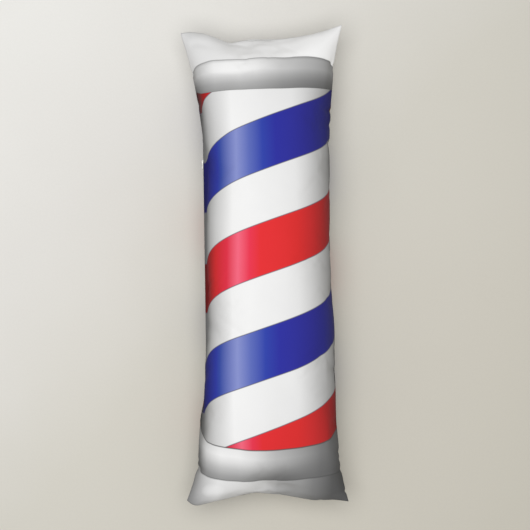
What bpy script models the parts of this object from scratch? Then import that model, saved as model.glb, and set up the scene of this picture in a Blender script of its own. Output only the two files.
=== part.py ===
"""Body pillow in a zip-off cover, lying on its back.

Units are metres and +Z is up. X runs across the pillow, +Y runs along it towards the top of the
print, and z = 0 is the surface it lies on. The cover is a front and a back panel, sewn together round
the edge, with a concealed coil zip in the left seam. Inside it lies the insert: two ticking panels
round a fibre filling. The zip's slider runs along Y, and its pull tab swings about a vertical axis.
"""

import math
from dataclasses import dataclass

import bmesh
import bpy
from mathutils import Matrix, Vector

# Stuffed cover, at the inner face of its fabric unless said otherwise.
EAR_WIDTH = 0.456  # across the corner tips
EAR_LENGTH = 1.340  # along a long side, from corner tip to corner tip
WAIST_WIDTH = 0.358  # between the straight stretches of the long seams
WAIST_SHIFT = 0.009  # how far the waist has slumped towards the side without the zip
END_BOW = 0.027  # how far the middle of each end seam is drawn in from the corner tips
THICKNESS = 0.285  # from the floor to the crown, over the fabric
SEAM_HEIGHT = 0.134  # from the floor to the seam
FLOOR_SINK = 0.016  # how far the back would bulge below the floor if the floor let it
END_FULLNESS = 2.4  # exponent of the rise from an end seam to the crown: higher is blunter
FLARE = 1.8  # exponent of the long seams' flare towards the corners
FABRIC = 0.0008
SEAM_GAP = 0.0010  # between the edges of the two panels, where the seam thread runs
THREAD_RADIUS = 0.0002

# Insert, and the room left round it.
TICKING = 0.0005
INSERT_SIDE_ROOM = 0.0045  # from the zip's slider to the insert
INSERT_END_ROOM = 0.030
INSERT_CROWN_ROOM = 0.0015
FILLING_ROOM = 0.0006
FILLING_MOUTH = 0.180  # the stretch of the lower end seam that was closed last

# Zip, set behind the edges of the panels in the left seam.
ZIP_LENGTH = 0.610
ZIP_GAP = 0.0020  # between the panels' edges along the zip
ZIP_END_ROOM = 0.006  # the gap runs this far past the chain's ends
TAPE_WIDTH = 0.011
TAPE_THICKNESS = 0.0005
TAPE_TAIL = 0.018  # tape beyond each end of the chain
TAPE_SET_IN = 0.0010  # from the panel to the tape, where the stitches run
STITCH_SHARE = 0.65  # where across the tape the stitches run
COIL_WIDTH = 0.0016
COIL_DEPTH = 0.0020
STOP_LENGTH = 0.0025
TOUCH = 0.0003  # gap between pieces that lie on each other
RUN = 0.0004  # gap between pieces that slide on each other

# Slider and pull tab.
SLIDER_LENGTH = 0.0095
SLIDER_PLATE = 0.0012
SLIDER_FLANGE = 0.0010
NECK_WIDTH = 0.0011
NECK_LENGTH = 0.0040
SADDLE_WIDTH = 0.0040
SADDLE_LENGTH = 0.0080
SADDLE_THICKNESS = 0.0008
BRIDGE_WIDTH = 0.0016
BRIDGE_BAR = 0.0007
PULL_THICKNESS = 0.0010
PULL_WIDTH = 0.0062
PULL_LENGTH = 0.024
PULL_PLAY = 0.0005  # round the pull tab's end bar, inside the bridge
UNION_OVERLAP = 0.0002  # how far joined blocks reach into each other

# Care label, a blank folded ribbon caught in the right seam, inside the cover.
LABEL_WIDTH = 0.030
LABEL_HEIGHT = 0.012
LABEL_RIBBON = 0.00025
LABEL_FOLD = 0.0004  # radius of the fold at the ribbon's middle
LABEL_SET_IN = 0.0015
LABEL_ALONG = -0.150

# Facets.
COLUMNS = 12  # across a panel, between its two upright strips
ZIP_ROWS = 8
END_ROWS = 8
ARC_STEPS = 8

ZIP_HALF = ZIP_LENGTH / 2
STRAIGHT_HALF = ZIP_HALF + TAPE_TAIL + ZIP_END_ROOM
SEAM_X = WAIST_SHIFT - WAIST_WIDTH / 2

# The zip's layers, as distances outwards from the inner face of the panels.
TAPE_OUT = -TAPE_SET_IN
TAPE_IN = TAPE_OUT - TAPE_THICKNESS
COIL_OUT = TAPE_IN - TOUCH
COIL_IN = COIL_OUT - COIL_DEPTH
PLATE_OUT = COIL_IN - RUN
PLATE_IN = PLATE_OUT - SLIDER_PLATE
SADDLE_IN = FABRIC + RUN
SADDLE_OUT = SADDLE_IN + SADDLE_THICKNESS
PULL_BAR = PULL_THICKNESS  # the end bar is as deep as the tab is thick, so it turns in the bridge
BAR_DIAGONAL = PULL_BAR * math.sqrt(2)
PULL_AXIS_OUT = SADDLE_OUT + BAR_DIAGONAL / 2 + PULL_PLAY
BRIDGE_IN = PULL_AXIS_OUT + BAR_DIAGONAL / 2 + PULL_PLAY / 2
BRIDGE_OUT = BRIDGE_IN + BRIDGE_BAR
BRIDGE_HALF_SPAN = BAR_DIAGONAL / 2 + PULL_PLAY * 2

COIL_REACH = ZIP_GAP / 2 + COIL_WIDTH
FLANGE_REACH = COIL_REACH + RUN
TAPE_REACH = ZIP_GAP / 2 + TAPE_WIDTH
STRIP_HEIGHT = TAPE_REACH + 0.002  # the panels stand upright this far from the seam
SLIDER_ALONG = ZIP_HALF - STOP_LENGTH - RUN - SLIDER_LENGTH / 2


def fullness(share):
    """Height at a share of the way from the middle (0) to an end seam (1), as a share of the crown's."""
    return math.sqrt(max(0.0, 1 - abs(share) ** END_FULLNESS))


@dataclass
class Envelope:
    """A stuffed bag's surface: two panels that meet at the seam height."""

    waist: float  # half-width along the straight stretch
    ear: float  # half-width at the corner tips
    reach: float  # half-length at the corner tips
    rise: float  # from the front panel's edge to the crown
    drop: float  # from the back panel's edge to its lowest point, with no floor
    floor: float
    edge_gap: float  # between the two panels' edges
    zip_gap: float  # the same along the zip, or 0 if there is none

    def flare(self, y):
        """From 0 along the straight stretch to 1 at the corner tips."""
        return (max(0.0, abs(y) - STRAIGHT_HALF) / (self.reach - STRAIGHT_HALF)) ** FLARE

    def end_reach(self, across):
        return self.reach - END_BOW * (1 - across**2)

    def edge_half_gap(self, across, y):
        on_zip = across <= -1 and abs(y) <= ZIP_HALF + ZIP_END_ROOM + 1e-6
        return max(self.edge_gap, self.zip_gap if on_zip else 0.0) / 2

    def seam_point(self, across, share):
        """A point of the outline, or of the seam plane inside it."""
        y = share * self.end_reach(across)
        flare = self.flare(y)
        half_width = self.waist + (self.ear - self.waist) * flare
        return Vector((across * half_width + WAIST_SHIFT * (1 - flare), y, SEAM_HEIGHT))

    def point(self, angle, share, front):
        """A point of the front or back panel. Angle goes from -90 degrees at the left seam to 90."""
        across = max(-1.0, min(1.0, math.sin(angle) / math.sin(strip_angle())))
        place = self.seam_point(across, share)
        height = fullness(share) * max(0.0, math.cos(angle))
        gap = self.edge_half_gap(across if abs(angle) > strip_angle() + 1e-6 else 0.0, place.y)
        if front:
            place.z += max(gap, self.edge_gap / 2 + self.rise * height)
        else:
            place.z = max(self.floor, place.z - max(gap, self.edge_gap / 2 + self.drop * height))
        return place


def cover_envelope():
    return Envelope(
        waist=WAIST_WIDTH / 2,
        ear=EAR_WIDTH / 2,
        reach=EAR_LENGTH / 2,
        rise=THICKNESS - FABRIC - SEAM_HEIGHT - SEAM_GAP / 2,
        drop=SEAM_HEIGHT - FABRIC - SEAM_GAP / 2 + FLOOR_SINK,
        floor=FABRIC,
        edge_gap=SEAM_GAP,
        zip_gap=ZIP_GAP,
    )


def shrunk(outer, side, end, crown, floor):
    """The envelope that lies inside another with this room at its sides, ends and crown."""
    return Envelope(
        waist=outer.waist - side,
        ear=outer.ear - side - end * (outer.ear / outer.reach),
        reach=outer.reach - end,
        rise=outer.rise - crown,
        drop=outer.drop - crown,
        floor=outer.floor + floor,
        edge_gap=SEAM_GAP,
        zip_gap=0.0,
    )


def insert_envelope():
    crown = INSERT_CROWN_ROOM + TICKING
    return shrunk(cover_envelope(), -PLATE_IN + INSERT_SIDE_ROOM + TICKING, INSERT_END_ROOM, crown, crown)


def filling_envelope():
    room = 4 * FILLING_ROOM
    return shrunk(insert_envelope(), room, room, FILLING_ROOM, FILLING_ROOM)


def strip_angle():
    """The angle at which the panels turn upright, so that the zip lies flat behind them."""
    cover = cover_envelope()
    least_rise = min(cover.rise, cover.drop) * fullness(STRAIGHT_HALF / cover.reach)
    return math.acos(STRIP_HEIGHT / least_rise)


def column_angles():
    strip = strip_angle()
    return [-math.pi / 2, *(strip * (2 * k / COLUMNS - 1) for k in range(COLUMNS + 1)), math.pi / 2]


def row_shares():
    """Rows along the pillow, as shares of its reach: even along the zip, and closing up at the ends."""
    reach = EAR_LENGTH / 2
    straight = STRAIGHT_HALF / reach
    gap_end = (ZIP_HALF + ZIP_END_ROOM) / reach
    along_zip = [gap_end * (2 * k / ZIP_ROWS - 1) for k in range(ZIP_ROWS + 1)]
    first = math.asin(straight)
    to_end = [math.sin(first + (math.pi / 2 - first) * k / END_ROWS) for k in range(END_ROWS + 1)]
    return [-s for s in reversed(to_end)] + along_zip + to_end


def material(name, colour, roughness=0.9, metallic=0.0):
    made = bpy.data.materials.new(name)
    made.use_nodes = True
    shader = made.node_tree.nodes["Principled BSDF"]
    shader.inputs["Base Color"].default_value = (*colour, 1.0)
    shader.inputs["Roughness"].default_value = roughness
    shader.inputs["Metallic"].default_value = metallic
    made.diffuse_color = (*colour, 1.0)
    return made


def add_object(name, data, finish, origin=(0, 0, 0)):
    """Puts mesh or curve data, which is in the row frame, into an object with its origin at a point."""
    place = Vector(origin)
    if place.length > 0:
        data.transform(Matrix.Translation(-place))
    made = bpy.data.objects.new(name, data)
    made.location = place
    made.data.materials.append(finish)
    PARTS.objects.link(made)
    return made


def mesh_of(name, bm):
    mesh = bpy.data.meshes.new(name)
    bm.to_mesh(mesh)
    bm.free()
    return mesh


def panel_bmesh(envelope, front):
    """A grid laid over one half of an envelope, facing out."""
    angles = column_angles()
    shares = row_shares()
    bm = bmesh.new()
    bmesh.ops.create_grid(bm, x_segments=len(angles) - 1, y_segments=len(shares) - 1, size=1.0)
    for vertex in bm.verts:
        column = round((vertex.co.x + 1) / 2 * (len(angles) - 1))
        row = round((vertex.co.y + 1) / 2 * (len(shares) - 1))
        vertex.co = envelope.point(angles[column], shares[row], front)
    if not front:
        bmesh.ops.reverse_faces(bm, faces=bm.faces[:])
    return bm


def add_panel(name, envelope, front, thickness, finish):
    """A sewn panel: the grid is its inner face, and the cloth's thickness goes outwards."""
    panel = add_object(name, mesh_of(name, panel_bmesh(envelope, front)), finish)
    panel.data.shade_smooth()
    cloth = panel.modifiers.new("cloth", "SOLIDIFY")
    cloth.thickness = thickness
    cloth.offset = 1.0
    return panel


def add_filling(finish):
    """The fibre filling: the two halves of its envelope, joined along the seam plane."""
    envelope = filling_envelope()
    envelope.edge_gap = 0.0
    whole = bmesh.new()
    for front in (True, False):
        half = mesh_of("half", panel_bmesh(envelope, front))
        whole.from_mesh(half)
        bpy.data.meshes.remove(half)
    bmesh.ops.remove_doubles(whole, verts=whole.verts[:], dist=1e-5)
    filling = add_object("insert_filling", mesh_of("insert_filling", whole), finish)
    filling.data.shade_smooth()
    return filling


def add_thread(name, points, finish):
    """A sewing thread along a run of points."""
    curve = bpy.data.curves.new(name, "CURVE")
    curve.dimensions = "3D"
    curve.bevel_depth = THREAD_RADIUS
    curve.bevel_resolution = 1
    curve.use_fill_caps = True
    spline = curve.splines.new("POLY")
    spline.points.add(len(points) - 1)
    for spot, point in zip(spline.points, points):
        spot.co = (*point, 1.0)
    return add_object(name, curve, finish)


def outline(envelope):
    """The seam's outline, clockwise from above, from the middle of the left side back to it."""
    shares = row_shares()
    strip = math.sin(strip_angle())
    across = [math.sin(a) / strip for a in column_angles() if abs(a) <= strip_angle() + 1e-6]
    upper = [s for s in shares if 0 <= s < 1]
    left_up = [envelope.seam_point(-1, s) for s in upper]
    top = [envelope.seam_point(a, 1) for a in across]
    right = [envelope.seam_point(1, s) for s in reversed(shares[1:-1])]
    bottom = [envelope.seam_point(a, -1) for a in reversed(across)]
    left_down = [envelope.seam_point(-1, -s) for s in reversed(upper[1:])]
    return left_up + top + right + bottom + left_down


def add_cover_seam_thread(finish):
    """The thread that joins the cover's panels, all round but for the zip."""
    gap_end = ZIP_HALF + ZIP_END_ROOM
    points = []
    for point in outline(cover_envelope()):
        if point.x < SEAM_X + TOUCH and abs(point.y) <= gap_end + 1e-6:
            continue
        on_side = abs(point.y) < EAR_LENGTH / 2 - END_BOW
        points.append(point + Vector((math.copysign(FABRIC / 2, point.x) if on_side else 0.0, 0, 0)))
    return add_thread("cover_seam_thread", points, finish)


def add_insert_seam_threads(finish):
    """The insert's seam thread, and the one that closed its filling mouth, which lies in a gap of it."""
    envelope = insert_envelope()
    mouth = FILLING_MOUTH / 2
    before, after = [], []
    for point in outline(envelope):
        in_mouth = point.y < -envelope.end_reach(0) + END_BOW and abs(point.x) <= mouth + 2 * THREAD_RADIUS
        if in_mouth:
            continue
        lower_left = point.y < -envelope.end_reach(0) + END_BOW and point.x < 0
        (after if lower_left or after else before).append(point)

    def end_point(x):
        return envelope.seam_point(x / envelope.ear, -1)

    gap = TOUCH + THREAD_RADIUS
    before.append(end_point(mouth + gap))
    after.insert(0, end_point(-mouth - gap))
    add_thread("insert_seam_thread", after + before, finish)
    closing = [end_point(mouth * (k / 4 - 1)) for k in range(9)]
    return add_thread("insert_closing_thread", closing, finish)


def zip_place(out, along, up):
    """A point by its distance out from the left seam, along the zip and above the seam."""
    return Vector((SEAM_X - out, along, SEAM_HEIGHT + up))


def block(bm, outs, alongs, ups):
    """Adds a box between two distances out, along and up."""
    low = zip_place(outs[1], alongs[0], ups[0])
    high = zip_place(outs[0], alongs[1], ups[1])
    size = high - low
    matrix = Matrix.Translation((low + high) / 2) @ Matrix.Diagonal((*size, 1.0))
    bmesh.ops.create_cube(bm, size=1.0, matrix=matrix)


def add_block(name, reaches, finish, origin=(0, 0, 0)):
    """A box as an object."""
    bm = bmesh.new()
    block(bm, *reaches)
    return add_object(name, mesh_of(name, bm), finish, origin)


def add_rod(name, out, up, depth, width, alongs, segments, finish):
    """A round or oval rod along the zip."""
    middle = zip_place(out, sum(alongs) / 2, up)
    size = Matrix.Diagonal((depth / 2, width / 2, alongs[1] - alongs[0], 1.0))
    turn = Matrix.Rotation(math.pi / 2, 4, "X")
    bm = bmesh.new()
    bmesh.ops.create_cone(
        bm,
        cap_ends=True,
        segments=segments,
        radius1=1.0,
        radius2=1.0,
        depth=1.0,
        matrix=Matrix.Translation(middle) @ turn @ size,
    )
    return add_object(name, mesh_of(name, bm), finish)


def add_zip_sides(tape_finish, coil_finish, thread_finish):
    """The upper and the lower side of the zip: tape, coil and the stitches that hold the tape."""
    tape_end = ZIP_HALF + TAPE_TAIL
    coil_ends = (-ZIP_HALF + STOP_LENGTH + TOUCH, ZIP_HALF - STOP_LENGTH - TOUCH)
    stitch_up = ZIP_GAP / 2 + STITCH_SHARE * TAPE_WIDTH
    for side, way in (("upper", 1), ("lower", -1)):
        ups = sorted((way * ZIP_GAP / 2, way * TAPE_REACH))
        add_block(f"zip_tape_{side}", ((TAPE_IN, TAPE_OUT), (-tape_end, tape_end), ups), tape_finish)
        coil_up = way * (ZIP_GAP / 2 + COIL_WIDTH / 2)
        coil_out = (COIL_OUT + COIL_IN) / 2
        add_rod(f"zip_coil_{side}", coil_out, coil_up, COIL_DEPTH, COIL_WIDTH, coil_ends, 12, coil_finish)
        thread = 2 * THREAD_RADIUS
        stitch_ends = (-tape_end + TAPE_TAIL / 4, tape_end - TAPE_TAIL / 4)
        add_rod(
            f"zip_stitch_{side}", TAPE_OUT / 2, way * stitch_up, thread, thread, stitch_ends, 6, thread_finish
        )


def add_zip_stops(finish):
    """A top stop on each tape, and one bottom stop across both, wide enough to catch the flanges."""
    depth = (COIL_IN, COIL_OUT)
    top = (ZIP_HALF - STOP_LENGTH, ZIP_HALF)
    bottom = (-ZIP_HALF, -ZIP_HALF + STOP_LENGTH)
    reach = FLANGE_REACH + SLIDER_FLANGE / 2
    add_block("zip_top_stop_upper", (depth, top, (ZIP_GAP / 2, reach)), finish)
    add_block("zip_top_stop_lower", (depth, top, (-reach, -ZIP_GAP / 2)), finish)
    add_block("zip_bottom_stop", (depth, bottom, (-reach, reach)), finish)


def slider_blocks():
    """The slider's casting: plate and flanges inside the cover, neck through the gap, saddle and bridge."""
    middle = SLIDER_ALONG
    body = (middle - SLIDER_LENGTH / 2, middle + SLIDER_LENGTH / 2)
    neck = (body[1] - NECK_LENGTH, body[1] - UNION_OVERLAP)
    saddle = (middle - SADDLE_LENGTH / 2, middle + SADDLE_LENGTH / 2)
    flange_out = FLANGE_REACH + SLIDER_FLANGE
    flange_depth = (PLATE_IN + UNION_OVERLAP, TAPE_IN - RUN)
    span = BRIDGE_HALF_SPAN
    post = (SADDLE_OUT - UNION_OVERLAP, BRIDGE_OUT - UNION_OVERLAP)
    half = BRIDGE_WIDTH / 2
    lip = UNION_OVERLAP / 2
    return [
        ((PLATE_IN, PLATE_OUT), body, (-flange_out + lip, flange_out - lip)),
        (flange_depth, (body[0] + lip, body[1] - lip), (FLANGE_REACH, flange_out)),
        (flange_depth, (body[0] + lip, body[1] - lip), (-flange_out, -FLANGE_REACH)),
        ((PLATE_OUT - UNION_OVERLAP, SADDLE_IN + UNION_OVERLAP), neck, (-NECK_WIDTH / 2, NECK_WIDTH / 2)),
        ((SADDLE_IN, SADDLE_OUT), saddle, (-SADDLE_WIDTH / 2, SADDLE_WIDTH / 2)),
        (post, (middle + span, middle + span + BRIDGE_BAR), (-half + lip, half - lip)),
        (post, (middle - span - BRIDGE_BAR, middle - span), (-half + lip, half - lip)),
        (
            (BRIDGE_IN, BRIDGE_OUT),
            (middle - span - BRIDGE_BAR - lip, middle + span + BRIDGE_BAR + lip),
            (-half, half),
        ),
    ]


def add_slider(finish):
    """The blocks of the casting joined into one solid, with its origin on its line of travel."""
    first, *others = slider_blocks()
    origin = zip_place(0, SLIDER_ALONG, 0)
    slider = add_block("zip_slider", first, finish, origin)
    for number, piece in enumerate(others):
        bm = bmesh.new()
        block(bm, *piece)
        helper = bpy.data.objects.new(f"slider_block_{number}", mesh_of("slider_block", bm))
        helper.hide_render = True
        helper.display_type = "WIRE"
        HELPERS.objects.link(helper)
        join = slider.modifiers.new(f"join_{number}", "BOOLEAN")
        join.operation = "UNION"
        join.solver = "EXACT"
        join.object = helper
    return slider


def arc(centre, radius, start, end, steps=ARC_STEPS):
    """Points of an arc, with its angles in degrees."""
    turns = [math.radians(start + (end - start) * k / steps) for k in range(steps + 1)]
    return [(centre[0] + radius * math.cos(t), centre[1] + radius * math.sin(t)) for t in turns]


def flat_outline(name, outlines, thickness):
    """A 2D curve that fills the first outline less the others, as thick as said."""
    curve = bpy.data.curves.new(name, "CURVE")
    curve.dimensions = "2D"
    curve.fill_mode = "BOTH"
    curve.extrude = thickness / 2
    for points in outlines:
        spline = curve.splines.new("POLY")
        spline.points.add(len(points) - 1)
        for spot, point in zip(spline.points, points):
            spot.co = (*point, 0.0, 1.0)
        spline.use_cyclic_u = True
    return curve


def add_pull_tab(finish):
    """The pull tab: a tear-drop tongue, whose end bar turns in the slider's bridge."""
    half = PULL_WIDTH / 2
    bar = PULL_BAR / 2
    rail = BRIDGE_WIDTH / 2 + RUN
    hole_end = bar + BRIDGE_HALF_SPAN + 2 * BRIDGE_BAR + PULL_PLAY
    corner = half / 4
    tip = PULL_LENGTH - half - bar
    waist = 0.7 * half  # the tongue is slimmest just past the hole
    outer = [
        *arc((corner - bar, corner - half), corner, 180, 270, 3),
        (hole_end, -half),
        (hole_end + half, -waist),
        *arc((tip, 0), half, -90, 90),
        (hole_end + half, waist),
        (hole_end, half),
        *arc((corner - bar, half - corner), corner, 90, 180, 3),
    ]
    hole = [(bar, -rail), (bar, rail), (hole_end, rail), (hole_end, -rail)]
    curve = flat_outline("zip_pull_tab", [outer, hole], PULL_THICKNESS)
    pull = bpy.data.objects.new("zip_pull_tab", curve)
    # The tongue's length points back along the zip, its width up, and its face out.
    axes = Matrix(((0, 0, -1), (-1, 0, 0), (0, 1, 0)))
    pull.matrix_world = Matrix.Translation(zip_place(PULL_AXIS_OUT, SLIDER_ALONG, 0)) @ axes.to_4x4()
    curve.materials.append(finish)
    PARTS.objects.link(pull)
    return pull


def add_care_label(finish):
    """A ribbon folded in two, its ends at the seam and its fold above them."""
    outside = LABEL_FOLD + LABEL_RIBBON
    top = LABEL_HEIGHT - outside
    ribbon = [
        (outside, 0),
        *arc((0, top), outside, 0, 180),
        (-outside, 0),
        (-LABEL_FOLD, 0),
        *arc((0, top), LABEL_FOLD, 180, 0),
        (LABEL_FOLD, 0),
    ]
    curve = flat_outline("cover_care_label", [ribbon], LABEL_WIDTH)
    label = bpy.data.objects.new("cover_care_label", curve)
    right_seam = WAIST_SHIFT + WAIST_WIDTH / 2
    label.location = (right_seam - LABEL_SET_IN - outside, LABEL_ALONG, SEAM_HEIGHT + SEAM_GAP)
    label.rotation_euler = (math.pi / 2, 0, 0)
    curve.materials.append(finish)
    PARTS.objects.link(label)
    return label


def clear_scene():
    for old in list(bpy.data.objects):
        bpy.data.objects.remove(old)


def new_collection(name):
    made = bpy.data.collections.new(name)
    bpy.context.scene.collection.children.link(made)
    return made


def build():
    print_cloth = material("printed_polyester", (0.80, 0.80, 0.82))
    ticking = material("insert_ticking", (0.86, 0.86, 0.84))
    fibre = material("fibre_filling", (0.92, 0.92, 0.90), 1.0)
    thread = material("thread", (0.88, 0.88, 0.88), 0.8)
    tape = material("zip_tape", (0.90, 0.90, 0.90), 0.85)
    nylon = material("zip_coil", (0.85, 0.85, 0.86), 0.45)
    metal = material("zip_metal", (0.72, 0.73, 0.75), 0.3, 1.0)
    ribbon = material("label_ribbon", (0.93, 0.93, 0.93), 0.7)

    add_panel("cover_front_panel", cover_envelope(), True, FABRIC, print_cloth)
    add_panel("cover_back_panel", cover_envelope(), False, FABRIC, print_cloth)
    add_cover_seam_thread(thread)
    add_care_label(ribbon)
    add_panel("insert_front_panel", insert_envelope(), True, TICKING, ticking)
    add_panel("insert_back_panel", insert_envelope(), False, TICKING, ticking)
    add_filling(fibre)
    add_insert_seam_threads(thread)
    add_zip_sides(tape, nylon, thread)
    add_zip_stops(metal)
    add_slider(metal)
    add_pull_tab(metal)


clear_scene()
PARTS = new_collection("body_pillow")
HELPERS = new_collection("helpers")
build()
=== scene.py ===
"""Body pillow in a zip-off cover printed with a barber pole, lying on its back on a pale floor.

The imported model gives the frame. The cover is simulated as cloth from its flat cut, then fitted to the
pillow's outline and to the zip. The print is made of shader nodes on the cover's flat coordinates.
"""

import math

import bmesh
import bpy
import numpy as np
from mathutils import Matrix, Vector
from mathutils.bvhtree import BVHTree


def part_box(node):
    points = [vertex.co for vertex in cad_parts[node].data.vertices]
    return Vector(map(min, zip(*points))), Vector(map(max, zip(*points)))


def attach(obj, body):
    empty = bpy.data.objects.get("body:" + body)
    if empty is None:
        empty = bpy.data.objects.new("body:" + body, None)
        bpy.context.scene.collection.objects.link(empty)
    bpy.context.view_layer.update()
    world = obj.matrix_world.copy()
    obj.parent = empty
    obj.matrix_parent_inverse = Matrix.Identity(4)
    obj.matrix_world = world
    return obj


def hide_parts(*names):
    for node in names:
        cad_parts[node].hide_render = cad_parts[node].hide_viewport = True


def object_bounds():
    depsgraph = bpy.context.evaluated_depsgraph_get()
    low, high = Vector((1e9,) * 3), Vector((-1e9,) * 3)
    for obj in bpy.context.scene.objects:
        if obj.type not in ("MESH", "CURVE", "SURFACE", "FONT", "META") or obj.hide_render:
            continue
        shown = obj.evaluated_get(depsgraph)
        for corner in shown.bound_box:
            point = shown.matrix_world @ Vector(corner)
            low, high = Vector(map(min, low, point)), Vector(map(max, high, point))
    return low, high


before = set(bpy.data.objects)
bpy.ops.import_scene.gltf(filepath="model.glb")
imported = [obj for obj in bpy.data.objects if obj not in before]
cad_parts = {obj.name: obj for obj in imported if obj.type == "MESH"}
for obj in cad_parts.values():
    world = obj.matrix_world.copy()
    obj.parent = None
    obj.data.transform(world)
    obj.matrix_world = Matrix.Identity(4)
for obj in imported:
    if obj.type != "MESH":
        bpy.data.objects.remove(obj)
CAD_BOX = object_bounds()
SCENE = bpy.context.scene

# Flat cut of one cover panel and of one insert panel, in metres.
FLAT_WIDTH = 0.508
FLAT_LENGTH = 1.372
# Thickness of the cover's cloth and of the insert's ticking.
CLOTH = 0.0008
TICKING = 0.0005

# Places read from the frame.
SEAM_Z = (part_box("cover_front_panel")[0].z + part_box("cover_back_panel")[1].z) / 2
THICKNESS = CAD_BOX[1].z - CAD_BOX[0].z
TAPE_LOW, TAPE_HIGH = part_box("zip_tape_upper")
ZIP_X = TAPE_LOW.x - 0.001  # the panels' inner face along the zip
CHAIN_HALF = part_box("zip_top_stop_upper")[1].y
ZIP_HALF = TAPE_HIGH.y + 0.005
ZIP_GAP = 0.0020
SEAM_GAP = 0.0007
EAR_HALF = 0.229  # from the middle line to a corner tip
WAIST_SHIFT = 0.009  # the waist's middle, right of the middle line

# The pillow's outline, as (along, out) in metres: each long side's distance from the middle line.
LEFT_SIDE = [
    (-0.675, 0.235),
    (-0.61, 0.209),
    (-0.55, 0.198),
    (-0.38, 0.187),
    (-0.27, 0.179),
    (-0.15, 0.172),
    (0.0, 0.170),
    (0.2, 0.169),
    (0.34, 0.174),
    (0.44, 0.180),
    (0.53, 0.196),
    (0.60, 0.211),
    (0.66, 0.2305),
]
RIGHT_SIDE = [
    (-0.68, 0.229),
    (-0.615, 0.2115),
    (-0.50, 0.200),
    (-0.42, 0.195),
    (-0.30, 0.195),
    (-0.18, 0.194),
    (-0.05, 0.187),
    (0.08, 0.185),
    (0.25, 0.187),
    (0.38, 0.189),
    (0.47, 0.195),
    (0.60, 0.208),
    (0.68, 0.229),
]
# The end seams, as (across, along).
TOP_END = [
    (-0.229, 0.664),
    (-0.20, 0.667),
    (-0.16, 0.662),
    (-0.13, 0.650),
    (-0.09, 0.632),
    (-0.05, 0.643),
    (0.02, 0.643),
    (0.06, 0.644),
    (0.10, 0.648),
    (0.14, 0.655),
    (0.18, 0.664),
    (0.229, 0.681),
]
BOTTOM_END = [
    (-0.232, -0.665),
    (-0.205, -0.684),
    (-0.15, -0.672),
    (-0.04, -0.647),
    (0.05, -0.658),
    (0.13, -0.673),
    (0.19, -0.671),
    (0.229, -0.677),
]
# Folds in the front panel: from and to on its flat cut, then depth and width.
FRONT_FOLDS = [
    ((-0.095, 0.674), (-0.030, 0.646), 0.008, 0.009),
    ((-0.040, 0.668), (0.030, 0.664), 0.005, 0.012),
    ((0.243, 0.573), (0.208, 0.566), 0.005, 0.006),
    ((0.243, 0.571), (0.220, 0.551), 0.005, 0.006),
    ((0.243, 0.576), (0.205, 0.584), 0.004, 0.006),
    ((0.240, 0.442), (0.195, 0.452), 0.005, 0.008),
    ((0.240, 0.400), (0.190, 0.392), 0.005, 0.008),
    ((0.240, 0.347), (0.205, 0.360), 0.004, 0.008),
    ((0.240, -0.300), (0.210, -0.308), 0.003, 0.008),
    ((0.240, -0.540), (0.195, -0.520), 0.005, 0.008),
    ((0.240, -0.588), (0.190, -0.583), 0.005, 0.008),
    ((-0.240, -0.575), (-0.195, -0.592), 0.005, 0.009),
    ((-0.215, 0.640), (-0.160, 0.632), 0.004, 0.010),
    ((0.060, 0.672), (0.130, 0.668), 0.003, 0.008),
    ((0.150, 0.676), (0.205, 0.668), 0.004, 0.008),
    ((0.170, -0.676), (0.215, -0.660), 0.004, 0.008),
]
# Gathers in the side seams: side, place along the flat cut, depth and half-width.
SIDE_GATHERS = [
    (1, 0.572, 0.0030, 0.007),
    (1, 0.446, 0.0035, 0.007),
    (1, 0.405, 0.0030, 0.008),
    (1, 0.352, 0.0030, 0.008),
    (1, -0.305, 0.0020, 0.008),
    (1, -0.540, 0.0030, 0.008),
    (1, -0.588, 0.0035, 0.008),
    (1, -0.655, 0.0035, 0.006),
    (-1, -0.580, 0.0050, 0.010),
    (-1, 0.470, 0.0020, 0.010),
]


# --- Cloth -----------------------------------------------------------------------------------------


def flat_bag(columns, rows):
    """A closed bag of two flat panels, as a mesh object. Returns it with each panel's vertex numbers."""
    bm = bmesh.new()
    front = np.zeros((rows + 1, columns + 1), int)
    back = np.zeros_like(front)
    for j in range(rows + 1):
        for i in range(columns + 1):
            across, along = i / columns, j / rows
            place = Vector(((across - 0.5) * FLAT_WIDTH, (along - 0.5) * FLAT_LENGTH, 0.03))
            rise = 0.02 * math.sqrt(max(0.0, math.sin(math.pi * across) * math.sin(math.pi * along)))
            seam = i in (0, columns) or j in (0, rows)
            front[j, i] = len(bm.verts)
            bm.verts.new(place + Vector((0, 0, 0 if seam else rise)))
            back[j, i] = front[j, i]
            if not seam:
                back[j, i] = len(bm.verts)
                bm.verts.new(place - Vector((0, 0, rise)))
    bm.verts.ensure_lookup_table()
    for j in range(rows):
        for i in range(columns):
            ring = ((j, i), (j, i + 1), (j + 1, i + 1), (j + 1, i))
            bm.faces.new([bm.verts[front[k]] for k in ring])
            bm.faces.new([bm.verts[back[k]] for k in reversed(ring)])
    mesh = bpy.data.meshes.new("bag")
    bm.to_mesh(mesh)
    bm.free()
    bag = bpy.data.objects.new("bag", mesh)
    SCENE.collection.objects.link(bag)
    return bag, front, back


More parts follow.
